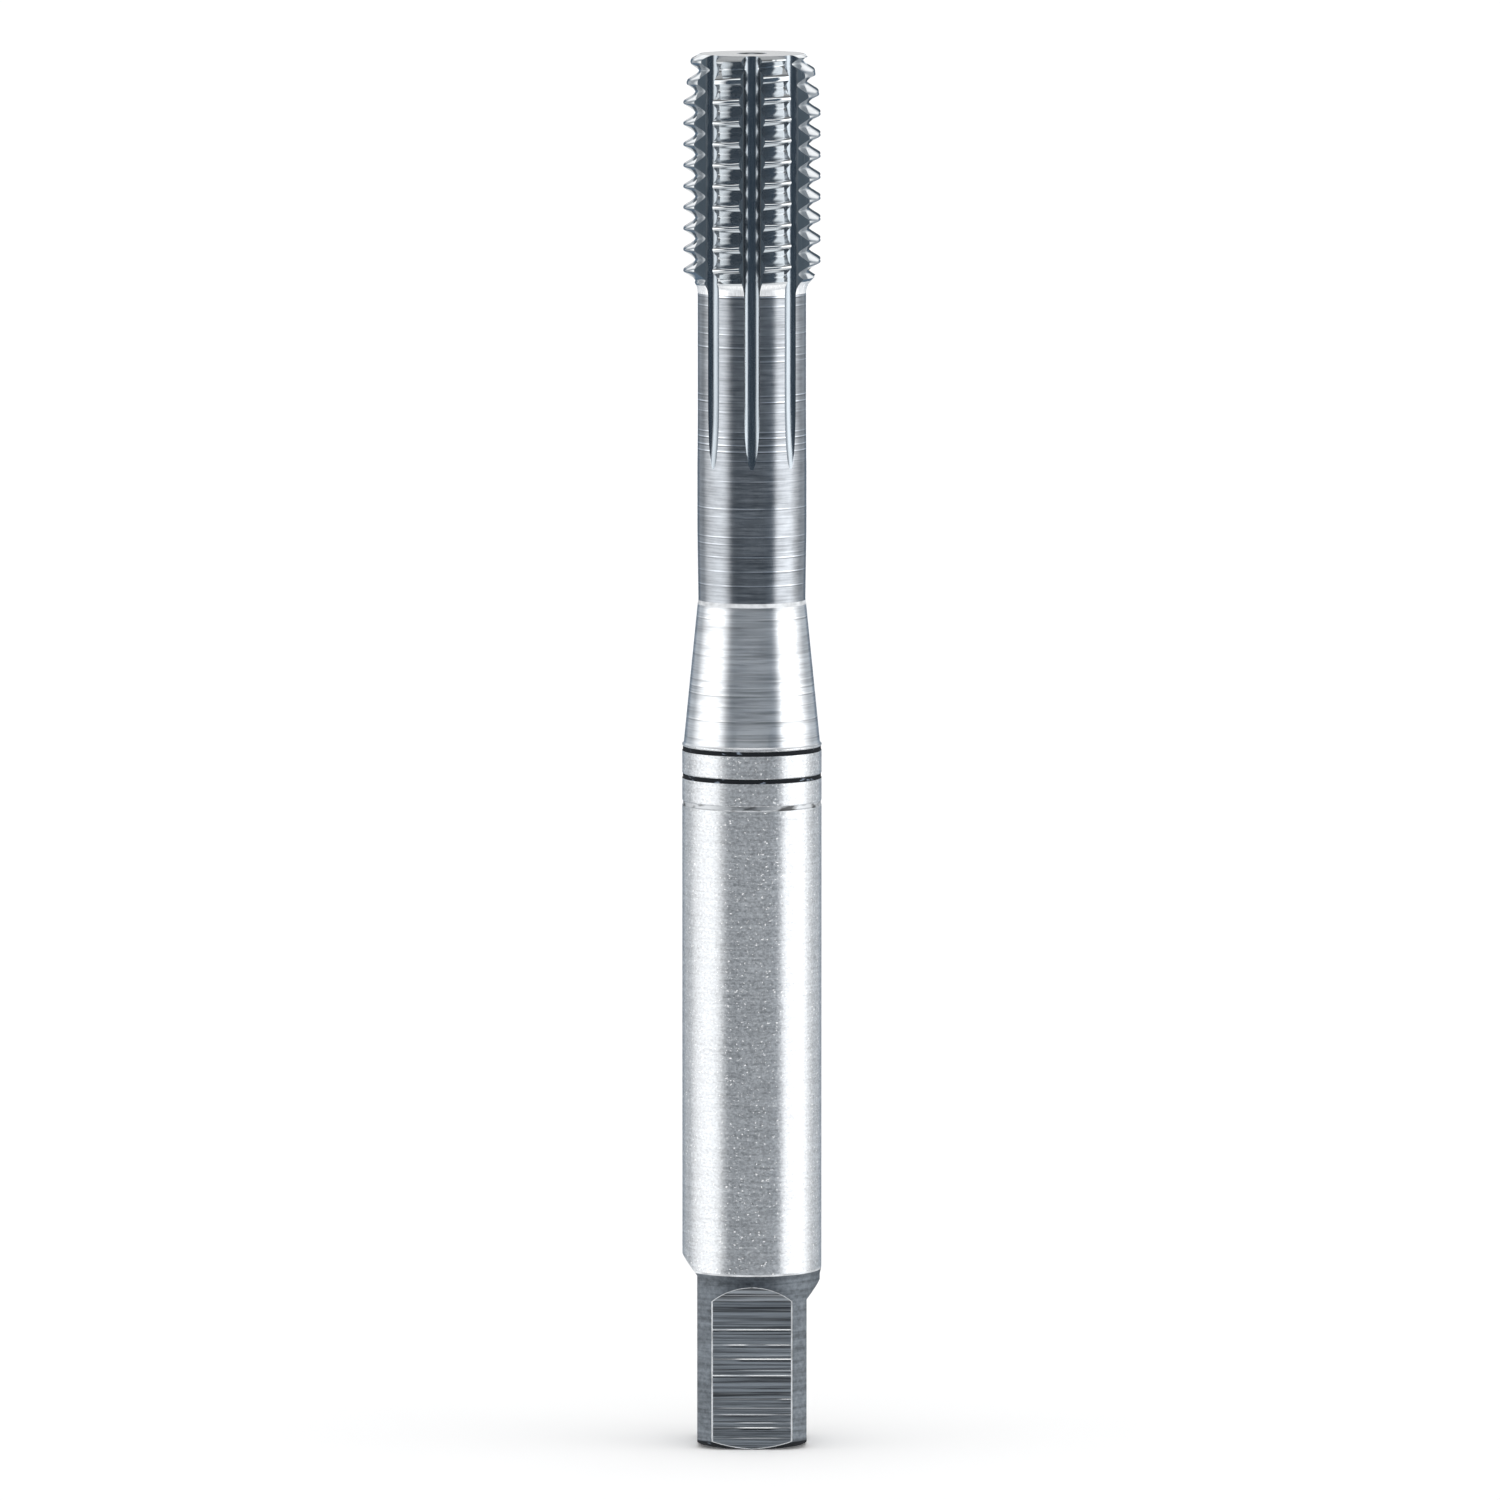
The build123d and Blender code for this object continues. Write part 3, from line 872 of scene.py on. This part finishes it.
def steel_finishes(colours):
    """The tap's finishes by the names in FINISHES."""
    return {
        # High-speed steel, form ground and polished: a dark mirror with hard white lights
        "thread": steel("form_ground", colours.polished_steel, 0.1, polish_marks, 0.96),
        # The same steel, fine turned: satin, with thin lines round the neck
        "neck": steel("fine_turned", colours.neck_steel, 0.35, turned_lines, 0.95, 0.88),
        # Centreless ground: bright, with a speckled grain that breaks up reflections
        "shank": steel("centreless_ground", colours.shank_steel, 0.4, ground_grain, 0.8, 0.88),
        # Cylindrically ground cone: bright streaks round the axis
        "cone": steel("cylindrically_ground", colours.shank_steel, 0.4, ground_streaks, 0.97, 0.88),
        # Turned and heat treated blank: dull mottled grey
        "blank": steel("heat_treated", colours.drive_steel, 0.62, blank_mottle, 0.95),
        # Faced ends and drilled centres: smooth grey with faint rings
        "faced": steel("faced", colours.faced_steel, 0.22, faced_rings),
        # Marking rings and the end's chamfer: painted shade, a near-black colour for where they turn from the
        # light
        "scale": steel("scaled", colours.painted_shade_black, 0.7, painted_shade_with_chips, 0.0, dull=0.1),
        # Coarse surface grinding on the flats: dull, with bright and dark lines across
        "flat": steel("surface_ground", colours.flat_steel, 0.62, wheel_lines),
        # Edges of the flats, the shank's lower rim and the waist's step: thin bright lines of painted
        # highlight in a pale, mostly matt colour
        "edge highlight": steel("edge_highlight", colours.edge_steel, 0.5, edge_highlight, 0.2),
        # Oil grooves, ground lengthwise by a thin wheel: satin floors, and walls painted a matt slate that
        # stands in for the dark studio's reflection
        "groove": steel("wheel_ground", colours.groove_steel, 0.22, satin_and_painted_walls),
        # The lowest marking ring: painted shade in broken dark dashes
        "dashed shade": steel("dashed_shade", colours.shank_steel, 0.5, painted_shade_dashes, 0.8),
        # Hollow shoulder below the thread: a near-white, mostly matt colour, a painted highlight where the
        # shoulder shows white
        "fillet": steel("fillet_painted_white", colours.fillet_steel, 0.3, wheel_satin, 0.25),
    }


class TAP_OT_steel_body(bpy.types.Operator):
    """Makes the tap itself: thread, oil grooves, neck, cone, shank, square and centre holes"""

    bl_idname = "tap.steel_body"
    bl_label = "Tap body"

    def execute(self, context):
        shaft, head = in_millimetres(context.scene.tap_shaft), in_millimetres(context.scene.tap_head)
        points, quads, triangles, finish = tap_surface(shaft, head)
        mesh = closed_mesh("tap_body", points, quads, triangles, finish)
        finishes = steel_finishes(context.scene.tap_colours)
        for name in FINISHES:
            mesh.materials.append(finishes[name])
        mesh.set_sharp_from_angle(angle=math.radians(SHARP_ANGLE))
        body = bpy.data.objects.new("tap_body", mesh)
        context.scene.collection.objects.link(body)
        even = body.modifiers.new("Even shading", "WEIGHTED_NORMAL")
        even.keep_sharp = True
        even.weight = 50
        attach(body, "root")
        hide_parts(NODE)
        return {"FINISHED"}


def studio_world(scene, colours):
    """A pale studio: plain white to the camera and as soft light, with the studio in the reflections.

    Round the tap, from the front to the right: the dark room behind the camera, a soft light, grey,
    a dark gap, and the white backdrop behind the tap. The left side is the same with a weaker light.
    Higher up the backdrop is lit, above the front hangs a soft light, and the pale table shows close
    below the tap.
    """
    world = bpy.data.worlds.new("studio")
    scene.world = world
    world.use_nodes = True
    tree = world.node_tree
    tree.nodes.clear()
    parts = add(tree, "SeparateXYZ", {0: add(tree, "TexCoord")}).node.outputs
    forward = add(tree, "Math", {0: parts["Y"], 1: -1.0}, operation="MULTIPLY")
    azimuth = add(tree, "Math", {0: parts["X"], 1: forward}, operation="ARCTAN2")
    share = add(tree, "MapRange", {0: azimuth, 1: -math.pi, 2: math.pi, 3: 0, 4: 1})
    ramp = add(tree, "ValToRGB", {"Fac": share})
    slate, grey, white = colours.room_slate, colours.room_grey, (1, 1, 1)
    # Degrees from the front, which grow to the right, and what stands there with its level
    stops = [
        (-180, white, 1.0), (-172, white, 1.0), (-168, slate, 2.0), (-152, slate, 2.0), (-146, grey, 1.0),
        (-124, grey, 0.85), (-112, white, 1.6), (-80, white, 2.5), (-64, white, 2.4), (-54, white, 1.5),
        (-45, slate, 1.0), (28, slate, 1.0), (49, slate, 1.8), (55, white, 2.7), (94, white, BRIGHTEST),
        (103, white, 1.9), (112, white, 1.35), (124, grey, 1.0), (146, grey, 1.0), (152, slate, 2.0),
        (168, slate, 2.0), (172, white, 1.0), (180, white, 1.0),
    ]
    elements = ramp.node.color_ramp.elements
    while len(elements) < len(stops):
        elements.new(1.0)
    for element, (degrees, tint, level) in zip(elements, stops):
        element.position = (degrees + 180) / 360
        element.color = (*[level / BRIGHTEST * c for c in tint], 1)
    # The lights end 33 to 40 degrees above and below, and the dark room goes on past them
    level = add(tree, "Math", {0: parts["Z"]}, operation="ABSOLUTE")
    is_past = add(tree, "MapRange", {0: level, 1: 0.55, 2: 0.65, 3: 0, 4: 1})
    room = shade(slate, 1.25 / BRIGHTEST)
    # Higher up the backdrop is lit, and shows in the upper flanks of the thread's side teeth
    is_high = add(tree, "MapRange", {0: parts["Z"], 1: 0.22, 2: 0.36, 3: 0, 4: 1})
    is_behind = add(tree, "MapRange", {0: parts["Y"], 1: 0.72, 2: 0.82, 3: 0, 4: 1})
    is_backdrop = add(tree, "Math", {0: is_high, 1: is_behind}, operation="MULTIPLY")
    backdrop = shade(white, 1.5 / BRIGHTEST)
    round_side = add(tree, "Mix", {0: is_backdrop, 6: ramp, 7: backdrop}, **COLOUR_MIX)
    side = add(tree, "Mix", {0: is_past, 6: round_side, 7: room}, **COLOUR_MIX)
    # Soft light above the front, with the grey ceiling behind it
    upper = add(tree, "MapRange", {0: parts["Y"], 1: -0.35, 2: -0.2, 3: 0.75, 4: 0.09})
    ceiling = add(tree, "MapRange", {0: parts["Y"], 1: 0.3, 2: 0.5, 3: 0, 4: 0.12})
    above = add(tree, "Math", {0: upper, 1: ceiling}, operation="ADD")
    is_upper = add(tree, "MapRange", {0: parts["Z"], 1: 0.62, 2: 0.7, 3: 0, 4: 1})
    is_lower = add(tree, "MapRange", {0: parts["Z"], 1: -0.74, 2: -0.8, 3: 0, 4: 1})
    lit = add(tree, "Mix", {0: is_upper, 6: side, 7: above}, **COLOUR_MIX)
    table = shade(colours.floor_white, 1.4 / BRIGHTEST)
    round_tap = add(tree, "Mix", {0: is_lower, 6: lit, 7: table}, **COLOUR_MIX)
    studio = add(tree, "Background", {"Color": round_tap, "Strength": BRIGHTEST})
    plain = add(tree, "Background", {"Color": (1, 1, 1, 1)})
    path = add(tree, "LightPath").node.outputs
    rays = {0: path["Is Camera Ray"], 1: path["Is Diffuse Ray"]}
    is_plain = add(tree, "Math", rays, operation="MAXIMUM")
    both = add(tree, "MixShader", {0: is_plain, 1: studio, 2: plain})
    add(tree, "OutputWorld", {"Surface": both})


class TAP_OT_stage(bpy.types.Operator):
    """Makes the pale floor, the soft studio light and the camera"""

    bl_idname = "tap.stage"
    bl_label = "Stage"

    def execute(self, context):
        scene = context.scene
        view, colours = scene.tap_view, scene.tap_colours
        studio_world(scene, colours)
        around = np.linspace(0, 2 * math.pi, FLOOR_CORNERS + 1)[:-1]
        rim = np.stack([FLOOR_RADIUS * np.cos(around), FLOOR_RADIUS * np.sin(around), 0 * around], axis=-1)
        mesh = bpy.data.meshes.new("studio_floor")
        mesh.from_pydata(rim.tolist(), [], [list(range(FLOOR_CORNERS))])
        floor = bpy.data.objects.new("studio_floor", mesh)
        scene.collection.objects.link(floor)
        floor.visible_glossy = False
        material = bpy.data.materials.new("matt_white_floor")
        material.use_nodes = True
        shader = material.node_tree.nodes["Principled BSDF"]
        shader.inputs["Base Color"].default_value = (*colours.floor_white, 1)
        shader.inputs["Roughness"].default_value = 0.9
        shader.inputs["Specular IOR Level"].default_value = 0.0
        mesh.materials.append(material)
        camera = bpy.data.objects.new("camera", bpy.data.cameras.new("camera"))
        scene.collection.objects.link(camera)
        camera.data.lens = view.lens
        camera.data.sensor_width = 36
        camera.data.clip_end = 20
        camera.location = (view.aside, -view.distance, view.height)
        pitch_down = math.atan2(view.height - view.aim_height, view.distance)
        camera.rotation_euler = (math.pi / 2 - pitch_down, 0, 0)
        scene.camera = camera
        scene.view_settings.view_transform = "Standard"
        return {"FINISHED"}


class TAP_PT_sidebar(bpy.types.Panel):
    """Lists what the add-on makes"""

    bl_label = "Machine tap"
    bl_idname = "TAP_PT_sidebar"
    bl_space_type = "VIEW_3D"
    bl_region_type = "UI"
    bl_category = "Tap"

    def draw(self, context):
        for operator in OPERATORS:
            self.layout.operator(operator.bl_idname)


OPERATORS = (TAP_OT_steel_body, TAP_OT_stage)
GROUPS = {
    "tap_shaft": TapShaftSizes, "tap_head": TapHeadSizes, "tap_colours": TapColours, "tap_view": TapView,
}


def register():
    for group in GROUPS.values():
        bpy.utils.register_class(group)
    for name, group in GROUPS.items():
        setattr(bpy.types.Scene, name, bpy.props.PointerProperty(type=group))
    for ui_class in (*OPERATORS, TAP_PT_sidebar):
        bpy.utils.register_class(ui_class)


def unregister():
    for ui_class in reversed((*OPERATORS, TAP_PT_sidebar)):
        bpy.utils.unregister_class(ui_class)
    for name in GROUPS:
        delattr(bpy.types.Scene, name)
    for group in reversed(list(GROUPS.values())):
        bpy.utils.unregister_class(group)


def main():
    """Registers the classes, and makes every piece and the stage."""
    register()
    bpy.ops.tap.steel_body()
    bpy.ops.tap.stage()
    bpy.context.view_layer.update()


if __name__ == "__main__":
    main()
